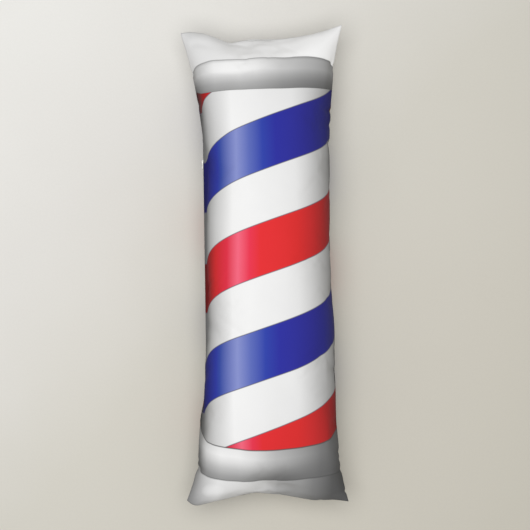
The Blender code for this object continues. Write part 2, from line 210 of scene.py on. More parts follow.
def stuff(bag, frames):
    """Blows the bag up as its filling does, lying on a floor, and returns its points."""
    bpy.ops.mesh.primitive_plane_add(size=4)
    ground = bpy.context.object
    ground.modifiers.new("ground", "COLLISION")
    ground.collision.thickness_outer = 0.002
    ground.collision.cloth_friction = 5
    cloth = bag.modifiers.new("cloth", "CLOTH")
    fabric = cloth.settings
    fabric.quality = 8
    fabric.mass = 0.2
    fabric.tension_stiffness = fabric.compression_stiffness = 60
    fabric.shear_stiffness = 20
    fabric.bending_stiffness = 0.4
    fabric.tension_damping = fabric.compression_damping = 25
    fabric.shear_damping = 15
    fabric.air_damping = 4
    fabric.use_pressure = True
    fabric.uniform_pressure_force = 6
    fabric.effector_weights.gravity = 0.02
    cloth.collision_settings.distance_min = 0.002
    cloth.collision_settings.collision_quality = 3
    SCENE.frame_start, SCENE.frame_end = 1, frames
    cloth.point_cache.frame_end = frames
    for number in range(1, frames + 1):
        SCENE.frame_set(number)
    shown = bag.evaluated_get(bpy.context.evaluated_depsgraph_get()).to_mesh()
    points = np.empty((len(shown.vertices), 3))
    shown.vertices.foreach_get("co", points.ravel())
    SCENE.frame_set(1)
    for old in (bag, ground):
        bpy.data.objects.remove(old)
    return points


def smoothed(values, spread):
    """Values along a line, with a bell curve of that many steps run over them."""
    reach = int(3 * spread) + 1
    bell = np.exp(-((np.arange(-reach, reach + 1) / spread) ** 2) / 2)
    before, after = 2 * values[0] - values[reach:0:-1], 2 * values[-1] - values[-2 : -reach - 2 : -1]
    padded = np.concatenate([before, values, after])
    return np.convolve(padded, bell / bell.sum(), "valid")


def ease(x):
    """From 0 at 0 to 1 at 1, level at both."""
    x = np.clip(x, 0, 1)
    return x * x * (3 - 2 * x)


def through(knots, at):
    """A smooth curve through a few (place, value) pairs."""
    fine = np.linspace(knots[0][0], knots[-1][0], 400)
    places, values = zip(*knots)
    line = smoothed(np.interp(fine, places, values), 7)
    return np.interp(at, fine, line)


def calm(front, back, steps, kept):
    """Softens the puckers along the long sides and across the ends, and keeps some of them."""
    rows, columns, _ = front.shape
    from_end = np.minimum(np.arange(rows), np.arange(rows)[::-1]) / rows
    ends = 1 - ease((from_end - 0.04) / 0.12)
    for panel in (front, back):
        soft = panel.copy()
        for i in range(columns):
            for k in range(3):
                soft[:, i, k] = smoothed(panel[:, i, k], steps)
        panel[:] = soft + (kept + (1 - kept) * ends)[:, None, None] * (panel - soft)
        soft = panel.copy()
        for j in range(rows):
            for k in range(3):
                soft[j, :, k] = smoothed(panel[j, :, k], columns / 16)
        panel[:] = soft + (1 - (1 - kept) * ends)[:, None, None] * (panel - soft)


def on_flat(panel):
    """Where a panel's columns and rows lie across and along its flat cut."""
    rows, columns, _ = panel.shape
    across = (np.arange(columns) / (columns - 1) - 0.5)[None, :] * FLAT_WIDTH
    along = (np.arange(rows) / (rows - 1) - 0.5)[:, None] * FLAT_LENGTH
    return across, along


def crease(panel, start, end, depth, width):
    """Presses a soft fold into a panel along a line between two places on its flat cut."""
    across, along = on_flat(panel)
    run = np.array(end) - np.array(start)
    share = ((across - start[0]) * run[0] + (along - start[1]) * run[1]) / (run @ run)
    held = np.clip(share, 0, 1)
    away = np.hypot(across - start[0] - held * run[0], along - start[1] - held * run[1])
    from_seam = np.minimum(FLAT_WIDTH / 2 - np.abs(across), FLAT_LENGTH / 2 - np.abs(along))
    panel[:, :, 2] -= depth * np.exp(-((away / width) ** 2)) * (1 - 0.7 * held) * ease(from_seam / 0.03)


def pucker(front, back, side, along_seam, depth, width):
    """Draws a side seam in a little, where its stitches gather the cloth."""
    across, along = on_flat(front)
    from_seam = FLAT_WIDTH / 2 - side * across
    pull = depth * np.exp(-(((along - along_seam) / width) ** 2) - (from_seam / 0.035) ** 2)
    for panel in (front, back):
        panel[:, :, 0] -= side * pull


def finer(panel):
    """Twice as many rows and columns, on smooth curves through the old ones."""
    for axis in (0, 1):
        line = np.swapaxes(panel, 0, axis)
        wide = np.concatenate([[2 * line[0] - line[1]], line, [2 * line[-1] - line[-2]]])
        joined = np.empty((2 * len(line) - 1, *line.shape[1:]))
        joined[::2] = line
        joined[1::2] = (9 * (wide[1:-2] + wide[2:-1]) - wide[:-3] - wide[3:]) / 16
        panel = np.swapaxes(joined, 0, axis)
    return panel.copy()


def fit_outline(front, back):
    """Draws the simulated panels in or out until the seam follows the pillow's outline.

    Towards an end, the whole panel takes up the end seam's wide bow, and the seam's own waves only close to it.
    """
    middle = (front[:, :, 1].max() + front[:, :, 1].min()) / 2
    for panel in (front, back):
        panel[:, :, 1] -= middle
    top, bottom = front[-1].copy(), front[0].copy()
    for panel in (front, back):
        x, y = panel[:, :, 0].copy(), panel[:, :, 1].copy()
        for seam, knots, way in ((top, TOP_END, 1), (bottom, BOTTOM_END, -1)):
            along = smoothed(seam[:, 1], 2)
            aim = through(knots, x * EAR_HALF / np.abs(seam[[0, -1], 0]).mean())
            bow = np.polyval(np.polyfit(seam[:, 0], through(knots, seam[:, 0]), 2), x)
            far, at_end = ease((way * y - 0.36) / 0.30), ease((way * y - 0.595) / 0.06)
            panel[:, :, 1] += far * (bow - np.interp(x, seam[:, 0], along)) + at_end * (aim - bow)
    left, right = front[:, 0].copy(), front[:, -1].copy()
    sides = (smoothed(left[:, 0], 5), smoothed(right[:, 0], 5))
    for panel in (front, back):
        x, y = panel[:, :, 0], panel[:, :, 1]
        old_left = np.interp(y, left[:, 1], sides[0])
        old_right = np.interp(y, right[:, 1], sides[1])
        new_left, new_right = -through(LEFT_SIDE, y), through(RIGHT_SIDE, y)
        share = (x - old_left) / (old_right - old_left)
        panel[:, :, 0] = new_left + share * (new_right - new_left)
    floor = min(front[:, :, 2].min(), back[:, :, 2].min())
    high = front[:, :, 2].max()
    for panel in (front, back):
        panel[:, :, 2] = CLOTH + (panel[:, :, 2] - floor) * (THICKNESS - 2 * CLOTH) / (high - floor)


def set_on_zip(front, back):
    """Straightens the left seam where the zip is, and keeps the panels outside the zip's tapes.

    The back panel stands hardly past the seam there, so it is hidden from above.
    """
    seam = front[:, 0].copy()
    held = ease((ZIP_HALF + 0.12 - np.abs(seam[:, 1])) / 0.12)
    move = np.zeros_like(seam)
    move[:, 0] = (ZIP_X - seam[:, 0]) * held
    move[:, 2] = (SEAM_Z - seam[:, 2]) * held
    columns = front.shape[1]
    away = np.arange(columns) * FLAT_WIDTH / (columns - 1)
    fade = np.exp(-((away / 0.016) ** 2))
    for panel in (front, back):
        panel += move[:, None, :] * fade[None, :, None]
        x, y, z = (panel[:, :, k] for k in range(3))
        near = ease((ZIP_HALF + 0.06 - np.abs(y)) / 0.04) * ease((0.026 - np.abs(z - SEAM_Z)) / 0.010)
        panel[:, :, 0] = np.where(x < 0, x + near * (np.minimum(x, ZIP_X) - x), x)
    x, y = back[:, :, 0], back[:, :, 1]
    proud, most = np.maximum(ZIP_X - x, 0), 0.0008
    on_zip = ease((ZIP_HALF + 0.06 - np.abs(y)) / 0.04)
    back[:, :, 0] = x + on_zip * (proud - proud / (1 + proud / most))


def part_seam(front, back):
    """Opens a hairline between the two panels' edges, wider along the zip."""
    rows, columns, _ = front.shape
    for panel, way in ((front, 1), (back, -1)):
        gap = np.zeros((rows, columns))
        for edge in ((0, slice(None)), (-1, slice(None)), (slice(None), 0), (slice(None), -1)):
            gap[edge] = SEAM_GAP / 2
        on_zip = np.abs(panel[:, 0, 1]) < CHAIN_HALF + 0.006
        gap[:, 0] = np.where(on_zip, ZIP_GAP / 2, gap[:, 0])
        panel[:, :, 2] += way * gap


def panel_object(name, points, front):
    """A panel's mesh, with its flat coordinates in metres as its UV map, mirrored for a back panel."""
    rows, columns, _ = points.shape
    bm = bmesh.new()
    bmesh.ops.create_grid(bm, x_segments=columns - 1, y_segments=rows - 1, size=0.5)
    uv = bm.loops.layers.uv.new("flat")
    cells = {}
    for vertex in bm.verts:
        across, along = vertex.co.x + 0.5, vertex.co.y + 0.5
        cells[vertex] = (across, along)
        vertex.co = points[round(along * (rows - 1)), round(across * (columns - 1))]
    for face in bm.faces:
        face.smooth = True
        for loop in face.loops:
            across, along = cells[loop.vert]
            across = across if front else 1 - across
            loop[uv].uv = ((across - 0.5) * FLAT_WIDTH, (along - 0.5) * FLAT_LENGTH)
    if not front:
        bmesh.ops.reverse_faces(bm, faces=bm.faces[:])
    mesh = bpy.data.meshes.new(name)
    bm.to_mesh(mesh)
    bm.free()
    made = bpy.data.objects.new(name, mesh)
    SCENE.collection.objects.link(made)
    return made


def cloth_layers(piece, thickness, fine=0):
    """Rounds a panel's mesh off and gives it its cloth's thickness, outwards."""
    if fine:
        soft = piece.modifiers.new("soft", "SUBSURF")
        soft.levels = soft.render_levels = fine
    thick = piece.modifiers.new("cloth", "SOLIDIFY")
    thick.thickness = thickness
    thick.offset = 1.0


def shrunk(points, across, along, up):
    """A panel drawn in towards the pillow's middle line."""
    middle = np.array((WAIST_SHIFT, 0.0, SEAM_Z))
    return middle + (points - middle) * np.array((across, along, up))


# --- Materials ---------------------------------------------------------------------------------------


def tone(*levels):
    """A colour given as it is seen, 0 to 255 a channel, as the share of light that it reflects."""
    levels = levels * 3 if len(levels) == 1 else levels
    return tuple(((v / 255 + 0.055) / 1.055) ** 2.4 for v in levels) + (1.0,)


class Recipe:
    """A material's nodes, wired one by one."""

    def __init__(self, name, **sockets):
        self.material = bpy.data.materials.new(name)
        self.material.use_nodes = True
        self.tree = self.material.node_tree
        self.shader = self.tree.nodes["Principled BSDF"]
        for socket, value in sockets.items():
            self.shader.inputs[socket.replace("_", " ")].default_value = value

    def put(self, socket, value):
        if isinstance(value, bpy.types.NodeSocket):
            self.tree.links.new(value, socket)
        else:
            socket.default_value = value

    def node(self, kind, inputs=None, **settings):
        made = self.tree.nodes.new("ShaderNode" + kind)
        for key, value in settings.items():
            setattr(made, key, value)
        for socket, value in (inputs or {}).items():
            self.put(made.inputs[socket], value)
        return made

    def place(self):
        """Places in the piece's own space."""
        return self.node("TexCoord").outputs["Object"]

    def math(self, operation, *values):
        return self.node("Math", dict(enumerate(values)), operation=operation).outputs[0]

    def spread(self, value, low, high, to_low=0.0, to_high=1.0):
        """Maps low...high onto to_low...to_high, and holds it there."""
        return self.node("MapRange", {0: value, 1: low, 2: high, 3: to_low, 4: to_high}).outputs[0]

    def ramp(self, value, stops, blend="LINEAR"):
        """Colours at places along a value."""
        low, high = stops[0][0], stops[-1][0]
        made = self.node("ValToRGB", {0: self.spread(value, low, high)})
        made.color_ramp.interpolation = blend
        marks = made.color_ramp.elements
        for place, colour in stops[1:-1]:
            marks.new((place - low) / (high - low)).color = colour
        marks[0].color, marks[-1].color = stops[0][1], stops[-1][1]
        return made.outputs[0]

    def line(self, value, knots):
        """A smooth curve through a few (place, value) pairs."""
        low, high = min(k[1] for k in knots), max(k[1] for k in knots)
        grey = [(place, ((v - low) / (high - low),) * 3 + (1.0,)) for place, v in knots]
        return self.spread(self.ramp(value, grey, "CARDINAL"), 0, 1, low, high)

    def mix(self, share, below, above, blend="MIX"):
        made = self.node("Mix", {0: share, 6: below, 7: above}, data_type="RGBA", blend_type=blend)
        return made.outputs[2]

    def noise(self, place, scale, detail=3.0, roughness=0.55):
        inputs = {0: place, "Scale": scale, "Detail": detail, "Roughness": roughness}
        return self.node("TexNoise", inputs).outputs[0]

    def colour(self, value):
        self.put(self.shader.inputs["Base Color"], value)

    def roughness(self, value):
        self.put(self.shader.inputs["Roughness"], value)

    def bumps(self, *layers):
        """Relief from (height, distance in metres, strength) layers, one on another."""
        normal = None
        for height, distance, strength in layers:
            inputs = {"Height": height, "Distance": distance, "Strength": strength}
            if normal is not None:
                inputs["Normal"] = normal
            normal = self.node("Bump", inputs).outputs[0]
        self.put(self.shader.inputs["Normal"], normal)


def flat_place(recipe):
    """The cloth's flat coordinates in metres: across, along, and both as one vector."""
    both = recipe.node("UVMap", uv_map="flat").outputs[0]
    split = recipe.node("SeparateXYZ", {0: both})
    return split.outputs[0], split.outputs[1], both


def weave(recipe, across, along, pitch):
    """A plain weave's crowns, 0 to 1."""
    warp = recipe.math("SINE", recipe.math("MULTIPLY", across, math.pi / pitch))
    weft = recipe.math("SINE", recipe.math("MULTIPLY", along, math.pi / pitch))
    return recipe.math("MULTIPLY_ADD", recipe.math("MULTIPLY", warp, weft), 0.5, 0.5)


# The printed pole: its axis and radius on the flat cloth, where the bands start there, how far their
# edges climb for each radian round it, and from one edge to the next.
POLE_MIDDLE = 0.0301
POLE_RADIUS = 0.2536
BAND_START = 0.4208
BAND_CLIMB = 0.0837
BAND_PITCH = 0.1447
# The printed colours across the pole, from its left edge to its right.
WHITE_BAND = [
    (-0.250, tone(53)),
    (-0.238, tone(87)),
    (-0.222, tone(112)),
    (-0.190, tone(184)),
    (-0.160, tone(210)),
    (-0.132, tone(224)),
    (-0.102, tone(241)),
    (0.010, tone(232)),
    (0.085, tone(229)),
    (0.120, tone(216)),
    (0.210, tone(168)),
    (0.235, tone(146)),
    (0.252, tone(110)),
]
BLUE_BAND = [
    (-0.250, tone(19, 17, 32)),
    (-0.235, tone(25, 23, 62)),
    (-0.205, tone(34, 36, 119)),
    (-0.160, tone(47, 58, 161)),
    (-0.145, tone(56, 77, 164)),
    (-0.088, tone(135, 145, 204)),
    (-0.050, tone(92, 107, 183)),
    (-0.010, tone(49, 67, 167)),
    (0.030, tone(45, 48, 156)),
    (0.120, tone(47, 47, 143)),
    (0.190, tone(45, 46, 128)),
    (0.252, tone(35, 33, 95)),
]
RED_BAND = [
    (-0.250, tone(57, 8, 11)),
    (-0.222, tone(104, 20, 21)),
    (-0.190, tone(164, 31, 32)),
    (-0.160, tone(210, 43, 47)),
    (-0.118, tone(222, 50, 71)),
    (-0.083, tone(241, 104, 128)),
    (-0.050, tone(228, 55, 79)),
    (-0.020, tone(224, 48, 52)),
    (0.085, tone(216, 47, 47)),
    (0.120, tone(204, 47, 48)),
    (0.170, tone(182, 45, 45)),
    (0.210, tone(157, 38, 40)),
    (0.252, tone(119, 22, 24)),
]


def oval(recipe, across, along, middle, reach):
    """0 at an oval's middle, 1 on its edge."""
    wide = recipe.math("DIVIDE", recipe.math("SUBTRACT", across, middle[0]), reach[0])
    high = recipe.math("DIVIDE", recipe.math("SUBTRACT", along, middle[1]), reach[1])
    return recipe.math("ADD", recipe.math("MULTIPLY", wide, wide), recipe.math("MULTIPLY", high, high))


def printed_cover():
    """A barber pole: spiral bands between a rounded cap and two rings, drawn on the flat cloth."""
    r = Recipe("printed_cover", Roughness=0.8, Sheen_Weight=0.03, Sheen_Roughness=0.35)
    r.shader.inputs["Specular IOR Level"].default_value = 0.12
    across, along, both = flat_place(r)

    # The bands wind round the pole: their edges follow an arcsine across its width.
    turn = r.math("DIVIDE", r.math("SUBTRACT", across, POLE_MIDDLE), POLE_RADIUS)
    turn = r.math("ARCSINE", r.math("MAXIMUM", r.math("MINIMUM", turn, 0.995), -0.995))
    count = r.math("SUBTRACT", r.math("MULTIPLY_ADD", turn, BAND_CLIMB, BAND_START), along)
    count = r.math("DIVIDE", count, BAND_PITCH)
    lap = r.math("FRACT", r.math("DIVIDE", count, 4.0))
    to_edge = r.math("ABSOLUTE", r.math("SUBTRACT", r.math("FRACT", r.math("ADD", count, 0.5)), 0.5))
    blue = r.math("LESS_THAN", lap, 0.25)
    red = r.math("MULTIPLY", r.math("GREATER_THAN", lap, 0.5), r.math("LESS_THAN", lap, 0.75))
    pole = r.mix(blue, r.ramp(across, WHITE_BAND), r.ramp(across, BLUE_BAND))
    pole = r.mix(red, pole, r.ramp(across, RED_BAND))
    rim = r.spread(to_edge, 0.004, 0.016, 0.75, 0.0)
    pole = r.mix(rim, pole, tone(92, 90, 104))

    # Cap.
    foot = r.line(
        across,
        [
            (-0.254, 0.506),
            (-0.240, 0.503),
            (-0.210, 0.4965),
            (-0.175, 0.4935),
            (-0.100, 0.4945),
            (0.000, 0.4915),
            (0.090, 0.495),
            (0.165, 0.498),
            (0.254, 0.504),
        ],
    )
    head = r.line(
        across,
        [
            (-0.254, 0.548),
            (-0.246, 0.561),
            (-0.217, 0.573),
            (-0.169, 0.584),
            (-0.120, 0.588),
            (-0.050, 0.590),
            (0.100, 0.590),
            (0.150, 0.587),
            (0.200, 0.582),
            (0.232, 0.577),
            (0.254, 0.566),
        ],
    )
    height = r.math("DIVIDE", r.math("SUBTRACT", along, foot), r.math("SUBTRACT", head, foot))
    cap = r.ramp(
        across,
        [
            (-0.25, tone(158)),
            (-0.15, tone(238)),
            (-0.07, tone(250)),
            (-0.02, tone(242)),
            (0.06, tone(207)),
            (0.14, tone(182)),
            (0.20, tone(166)),
            (0.25, tone(144)),
        ],
    )
    dim = r.ramp(
        height,
        [
            (0.0, tone(164)),
            (0.22, tone(186)),
            (0.42, tone(216)),
            (0.62, tone(250)),
            (0.9, tone(252)),
            (1.0, tone(220)),
        ],
    )
    cap = r.mix(1.0, cap, dim, "MULTIPLY")
    gleam = oval(r, across, along, (-0.085, 0.562), (0.10, 0.022))
    cap = r.mix(r.spread(gleam, 0.0, 1.0, 0.55, 0.0), cap, tone(250))
    # Painted shade: the white above the cap is made darker to its left and darker again towards the top seam.
    border = r.ramp(across, [(-0.25, tone(222)), (-0.1, tone(238)), (0.05, tone(247)), (0.2, tone(250))])
    border = r.mix(r.spread(along, 0.650, 0.686, 0.0, 0.35), border, tone(214))

    # Rings.
    brim = r.line(
        across,
        [
            (-0.254, -0.462),
            (-0.241, -0.478),
            (-0.205, -0.496),
            (-0.176, -0.503),
            (-0.087, -0.509),
            (-0.028, -0.511),
            (0.041, -0.509),
            (0.107, -0.506),
            (0.170, -0.499),
            (0.209, -0.491),
            (0.254, -0.476),
        ],
    )
    step = r.line(
        across,
        [
            (-0.254, -0.570),
            (-0.231, -0.585),
            (-0.198, -0.594),
            (-0.144, -0.600),
            (-0.090, -0.604),
            (-0.028, -0.612),
            (0.027, -0.611),
            (0.104, -0.600),
            (0.162, -0.594),
            (0.254, -0.592),
        ],
    )
    depth = r.math("DIVIDE", r.math("SUBTRACT", brim, along), r.math("SUBTRACT", brim, step))
    ring = r.ramp(
        across,
        [
            (-0.25, tone(140)),
            (-0.23, tone(168)),
            (-0.20, tone(222)),
            (-0.15, tone(245)),
            (-0.09, tone(242)),
            (-0.04, tone(224)),
            (0.02, tone(190)),
            (0.10, tone(158)),
            (0.16, tone(124)),
            (0.21, tone(106)),
            (0.25, tone(96)),
        ],
    )
    dim = r.ramp(
        depth,
        [
            (0.0, tone(244)),
            (0.25, tone(252)),
            (0.42, tone(236)),
            (0.62, tone(204)),
            (0.85, tone(172)),
            (1.0, tone(158)),
        ],
    )
    ring = r.mix(r.spread(across, 0.05, 0.19, 1.0, 0.3), ring, r.mix(1.0, ring, dim, "MULTIPLY"))
    low_ring = r.ramp(
        across,
        [
            (-0.25, tone(140)),
            (-0.20, tone(200)),
            (-0.16, tone(232)),
            (-0.06, tone(230)),
            (-0.01, tone(212)),
            (0.03, tone(178)),
            (0.10, tone(158)),
            (0.14, tone(130)),
            (0.20, tone(94)),
            (0.25, tone(80)),
        ],
    )
    gleam = oval(r, across, along, (-0.172, -0.634), (0.040, 0.022))
    low_ring = r.mix(r.spread(gleam, 0.0, 1.0, 0.45, 0.0), low_ring, tone(250))
    # Painted shade: the lower ring is made darker towards the bottom seam, where the cloth turns down.
    low_ring = r.mix(r.spread(along, -0.64, -0.686, 0.0, 0.25), low_ring, tone(110))

    # Each lies beyond its own edge, which is drawn as a dark line of some width and strength.
    drawn = pole
    for edge, side, part, width, strength in (
        (foot, "GREATER_THAN", cap, 0.0010, 0.35),
        (head, "GREATER_THAN", border, 0.0016, 0.45),
        (brim, "LESS_THAN", ring, 0.0016, 0.80),
        (step, "LESS_THAN", low_ring, 0.0018, 0.45),
    ):
        beyond = r.math("SUBTRACT", along, edge)
        drawn = r.mix(r.math(side, beyond, 0.0), drawn, part)
        near = r.spread(r.math("ABSOLUTE", beyond), width * 0.5, width * 1.6, strength, 0.0)
        drawn = r.mix(near, drawn, tone(74))

    cloudy = r.noise(both, 14.0)
    slub = r.noise(both, 900.0, 2.0)
    drawn = r.mix(0.05, drawn, r.ramp(cloudy, [(0.3, tone(205)), (0.7, tone(255))]), "MULTIPLY")
    drawn = r.mix(0.08, drawn, r.ramp(slub, [(0.35, tone(190)), (0.65, tone(255))]), "MULTIPLY")
    r.colour(drawn)
    r.roughness(r.spread(slub, 0.3, 0.7, 0.72, 0.88))
    r.bumps((cloudy, 0.0006, 0.5), (weave(r, across, along, 0.0006), 0.00003, 0.6), (slub, 0.00004, 0.5))
    return r.material


def ticking_cloth():
    """The insert's close white cotton, with a faint woven stripe."""
    r = Recipe("ticking_cloth", Roughness=0.85, Sheen_Weight=0.2, Sheen_Roughness=0.5)
    across, along, both = flat_place(r)
    stripe = r.math("SINE", r.math("MULTIPLY", across, 2 * math.pi / 0.012))
    cloudy = r.noise(both, 20.0)
    base = r.mix(r.spread(stripe, 0.86, 0.96), tone(238, 236, 229), tone(226, 226, 224))
    base = r.mix(0.08, base, r.ramp(cloudy, [(0.3, tone(200, 198, 190)), (0.7, tone(255))]), "MULTIPLY")
    r.colour(base)
    r.bumps((cloudy, 0.001, 0.4), (weave(r, across, along, 0.0005), 0.00004, 0.7))
    return r.material


def fibre():
    """Loose white polyester filling."""
    r = Recipe("fibre", Roughness=0.95, Sheen_Weight=0.4, Sheen_Roughness=0.6)
    place = r.place()
    tufts, hairs = r.noise(place, 28.0, 6.0, 0.65), r.noise(place, 420.0, 4.0, 0.7)
    loose = r.ramp(tufts, [(0.3, tone(214, 214, 210)), (0.65, tone(246, 246, 244))])
    r.colour(r.mix(0.5, loose, r.ramp(hairs, [(0.3, tone(222)), (0.7, tone(250))])))
    r.bumps((tufts, 0.012, 0.8), (hairs, 0.0015, 0.8))
    return r.material


def sewing_thread():
    """Twisted white polyester thread."""
    r = Recipe("sewing_thread", Roughness=0.55, Sheen_Weight=0.2)
    place = r.place()
    wave = {0: place, "Scale": 900.0, "Distortion": 1.5, "Detail": 1.0}
    twist = r.node("TexWave", wave, bands_direction="DIAGONAL").outputs[1]
    fuzz = r.noise(place, 1500.0)
    r.colour(r.mix(fuzz, tone(212, 211, 206), tone(240, 240, 237)))
    r.bumps((twist, 0.00008, 0.7), (fuzz, 0.00004, 0.5))
    return r.material


def tape_cloth():
    """The zip's woven tape, ribbed along its length."""
    r = Recipe("tape_cloth", Roughness=0.75, Sheen_Weight=0.15)
    place = r.place()
    split = r.node("SeparateXYZ", {0: place})
    ribs = r.math("SINE", r.math("MULTIPLY", split.outputs[2], 2 * math.pi / 0.0011))
    picks = r.math("SINE", r.math("MULTIPLY", split.outputs[1], 2 * math.pi / 0.0007))
    cloth = r.math("MULTIPLY_ADD", r.math("ADD", ribs, r.math("MULTIPLY", picks, 0.5)), 0.33, 0.5)
    shade = r.noise(place, 60.0)
    base = r.mix(cloth, tone(206, 206, 204), tone(236, 236, 234))
    r.colour(r.mix(0.1, base, r.ramp(shade, [(0.3, tone(190)), (0.7, tone(255))]), "MULTIPLY"))
    r.bumps((cloth, 0.00012, 0.8), (r.noise(place, 2500.0), 0.00004, 0.4))
    return r.material


def coil_nylon():
    """The zip's nylon coil, milky and a little glossy."""
    r = Recipe("coil_nylon", IOR=1.53, Subsurface_Weight=0.1, Subsurface_Scale=0.001)
    place = r.place()
    cloudy, grain = r.noise(place, 90.0), r.noise(place, 2200.0)
    r.colour(r.mix(cloudy, tone(222, 221, 215), tone(242, 242, 238)))
    r.roughness(r.spread(grain, 0.3, 0.7, 0.28, 0.45))
    r.bumps((grain, 0.00003, 0.5))
    return r.material


def nickel():
    """Tumbled nickel plate, with fine scratches and duller hollows."""
    r = Recipe("nickel", Metallic=1.0)
    place = r.place()
    split = r.node("Mapping", {0: place, "Scale": (1.0, 0.12, 1.0)}).outputs[0]
    scratches, dull = r.noise(split, 5200.0, 4.0, 0.7), r.noise(place, 260.0)
    r.colour(r.mix(dull, tone(176, 174, 170), tone(212, 211, 208)))
    r.roughness(r.math("ADD", r.spread(scratches, 0.3, 0.7, 0.16, 0.34), r.spread(dull, 0.4, 0.7, 0.0, 0.12)))
    r.bumps((scratches, 0.00002, 0.5), (dull, 0.00006, 0.3))
    return r.material


def label_satin():
    """A white satin ribbon: long floats across a fine warp."""
    r = Recipe("label_satin", Sheen_Weight=0.3, Sheen_Roughness=0.3)
    place = r.place()
    split = r.node("SeparateXYZ", {0: place})
    floats = r.math("SINE", r.math("MULTIPLY", split.outputs[0], 2 * math.pi / 0.00045))
    cross = r.math("SINE", r.math("MULTIPLY", split.outputs[1], 2 * math.pi / 0.0009))
    satin = r.math("MULTIPLY_ADD", r.math("MULTIPLY", floats, cross), 0.5, 0.5)
    shade = r.noise(place, 120.0)
    r.colour(r.mix(shade, tone(232, 231, 228), tone(248, 248, 247)))
    r.roughness(r.spread(satin, 0.0, 1.0, 0.35, 0.55))
    r.bumps((satin, 0.00002, 0.7), (shade, 0.0003, 0.3))
    return r.material


def studio_floor():
    """A pale seamless sheet, with a lamp's falloff painted into its colour: lighter to the top left, darker to
    the bottom right.
    """
    r = Recipe("studio_floor", Roughness=0.9)
    place = r.place()
    split = r.node("SeparateXYZ", {0: place})
    fine = r.noise(place, 160.0)
    painted_falloff = r.math("SUBTRACT", split.outputs[0], split.outputs[1])
    painted_falloff = r.math("ADD", painted_falloff, r.spread(r.noise(place, 1.6), 0.3, 0.7, -0.1, 0.1))
    # Painted light: the sheet's colour falls off from the top left to the bottom right, with a little random
    # wander.
    shade = r.ramp(
        painted_falloff,
        [
            (-1.5, tone(239, 238, 234)),
            (-0.7, tone(226, 224, 219)),
            (0.0, tone(213, 210, 200)),
            (0.8, tone(206, 202, 191)),
            (1.5, tone(202, 198, 186)),
        ],
    )
    r.colour(r.mix(0.12, shade, r.ramp(fine, [(0.3, tone(236)), (0.7, tone(255))]), "MULTIPLY"))
    r.bumps((fine, 0.0002, 0.3))
    return r.material


# --- Pieces ------------------------------------------------------------------------------------------


def make_cover():
    """The cover's two panels, and their points before the seam is parted, for what lies inside them."""
    columns, rows, frames = ((52, 140, 50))
    bag, front_ids, back_ids = flat_bag(columns, rows)
    points = stuff(bag, frames)
    front, back = points[front_ids], points[back_ids]
    calm(front, back, rows / 24, 0.3)
    fit_outline(front, back)
    front, back = finer(front), finer(back)
    for fold in FRONT_FOLDS:
        crease(front, *fold)
    for gather in SIDE_GATHERS:
        pucker(front, back, *gather)
    set_on_zip(front, back)
    inner = (front.copy(), back.copy())
    part_seam(front, back)
    pieces = []
    for name, points, side in (("cover_front", front, True), ("cover_back", back, False)):
        piece = panel_object(name, points, side)
        cloth_layers(piece, CLOTH, fine=0)
        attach(piece, "pillow")
        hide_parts(name + "_panel")
        pieces.append(piece)
    return pieces, inner


def tucked_in(panels, cover_panels, room):
    """Keeps panels inside the cover: no point comes nearer to it than some room, up or down."""
    walls = []
    for points in cover_panels:
        rows, columns, _ = points.shape
        quads = [
            (j * columns + i, j * columns + i + 1, (j + 1) * columns + i + 1, (j + 1) * columns + i)
            for j in range(rows - 1)
            for i in range(columns - 1)
        ]
        walls.append(BVHTree.FromPolygons([tuple(p) for p in points.reshape(-1, 3)], quads))
    for points in panels:
        for point in points.reshape(-1, 3):
            above = walls[0].ray_cast(Vector((point[0], point[1], 1.0)), Vector((0, 0, -1)))[0]
            below = walls[1].ray_cast(Vector((point[0], point[1], -1.0)), Vector((0, 0, 1)))[0]
            if above is None or below is None:
                continue
            middle = (above.z + below.z) / 2
            reach = max((above.z - below.z) / 2 - room, 0.0004)
            point[2] = min(max(point[2], middle - reach), middle + reach)


def make_insert(inner):
    """The insert's two panels, its filling, and the points of its seam."""
    pieces = []
    ticking = [shrunk(points[::2, ::2], 0.915, 0.955, 0.975) for points in inner]
    tucked_in(ticking, inner, 0.003)
    seam_points = ticking[0].copy()
    for name, points, side in (("insert_front", ticking[0], True), ("insert_back", ticking[1], False)):
        thin = points.copy()
        thin[:, :, 2] += 0.0003 if side else -0.0003
        piece = panel_object(name, thin, side)
        cloth_layers(piece, TICKING)
        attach(piece, "pillow")
        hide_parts(name + "_panel")
        pieces.append(piece)
    wads = [shrunk(points[::2, ::2], 0.9, 0.945, 0.955) for points in inner]
    tucked_in(wads, ticking, 0.002)
    filling = panel_object("filling", wads[0], True)
    other = panel_object("filling_back", wads[1], False)
    bm = bmesh.new()
    bm.from_mesh(filling.data)
    bm.from_mesh(other.data)
    bmesh.ops.remove_doubles(bm, verts=bm.verts[:], dist=1e-4)
    bm.to_mesh(filling.data)
    bm.free()
    bpy.data.objects.remove(other)
    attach(filling, "pillow")
    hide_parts("insert_filling")
    return pieces, filling, seam_points


def tube(name, points, radius):
    """A round thread along points, as a mesh object."""
    curve = bpy.data.curves.new(name, "CURVE")
    curve.dimensions = "3D"
    curve.bevel_depth = radius
    curve.bevel_resolution = 1
    curve.use_fill_caps = True
    spline = curve.splines.new("POLY")
    spline.points.add(len(points) - 1)
    spline.points.foreach_set("co", np.c_[np.array(points), np.ones(len(points))].ravel())
    drawn = bpy.data.objects.new(name + "_line", curve)
    SCENE.collection.objects.link(drawn)
    mesh = bpy.data.meshes.new_from_object(drawn.evaluated_get(bpy.context.evaluated_depsgraph_get()))
    bpy.data.objects.remove(drawn)
    for face in mesh.polygons:
        face.use_smooth = True
    piece = bpy.data.objects.new(name, mesh)
    SCENE.collection.objects.link(piece)
    return piece


def round_seam(panel):
    """A panel's seam as one line: from the middle of the left side up, round the pillow and back."""
    half = panel.shape[0] // 2
    right, bottom = panel[-2::-1, -1], panel[0, -2::-1]
    return np.concatenate([panel[half:, 0], panel[-1, 1:], right, bottom, panel[1 : half + 1, 0]])


